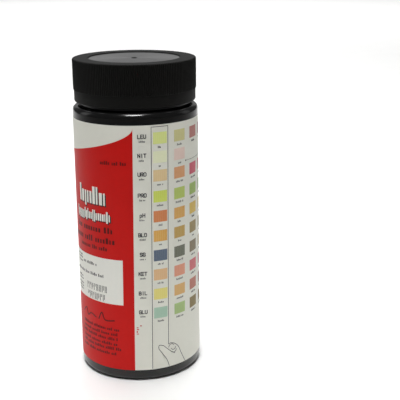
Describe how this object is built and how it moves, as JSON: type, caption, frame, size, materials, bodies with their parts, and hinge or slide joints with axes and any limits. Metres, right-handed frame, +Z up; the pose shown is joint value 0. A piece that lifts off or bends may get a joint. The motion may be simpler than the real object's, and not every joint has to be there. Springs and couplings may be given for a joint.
{
  "type": "test strip bottle",
  "caption": "Upright black plastic bottle with a ribbed screw cap, a wrap label with a colour chart, and dip-and-read urine test strips inside.",
  "frame": {"origin": "centre of the bottle's base, on the surface it stands on", "axes": "+Z up along the bottle's axis, the middle of the label's front faces -Y, +X to the right of it"},
  "size_m": [0.0478, 0.0478, 0.122],
  "materials": {
    "bottle_plastic": "glossy black moulded polyethylene",
    "cap_plastic": "satin black moulded polypropylene",
    "label_film": "printed film, red field and off-white chart",
    "strip_plastic": "smooth white plastic strip",
    "pad_pale_green": "absorbent reagent pad",
    "pad_cream": "absorbent reagent pad",
    "pad_tan": "absorbent reagent pad",
    "pad_lime": "absorbent reagent pad",
    "pad_rust": "absorbent reagent pad",
    "pad_ochre": "absorbent reagent pad",
    "pad_navy": "absorbent reagent pad",
    "pad_salmon": "absorbent reagent pad",
    "pad_yellow": "absorbent reagent pad",
    "pad_aqua": "absorbent reagent pad",
    "liner_foam": "soft white foam sheet",
    "desiccant_beads": "packed drying beads",
    "disc_card": "plain breathable card"
  },
  "bodies": {
    "bottle": {"bottle": "bottle_plastic", "label": "label_film", "strip_backings": "strip_plastic", "leukocyte_pads": "pad_pale_green", "nitrite_pads": "pad_cream", "urobilinogen_pads": "pad_tan", "protein_pads": "pad_lime", "ph_pads": "pad_rust", "blood_pads": "pad_ochre", "gravity_pads": "pad_navy", "ketone_pads": "pad_salmon", "bilirubin_pads": "pad_yellow", "glucose_pads": "pad_aqua"},
    "liner": {"liner": "liner_foam"},
    "cap": {"cap": "cap_plastic", "desiccant": "desiccant_beads", "desiccant_disc": "disc_card"}
  },
  "joints": [
    {"name": "cap_rise", "type": "slide", "parent": "bottle", "child": "liner", "axis": [0, 0, 1], "range_m": [0, 0.0169]},
    {"name": "cap_turn", "type": "hinge", "parent": "liner", "child": "cap", "pos_m": [0, 0, 0.114], "axis": [0, 0, 1], "range_deg": [0, 1440]}
  ],
  "couplings": [
    {"joint": "cap_turn", "follows": "cap_rise", "rad_per_m": 1484.2}
  ]
}
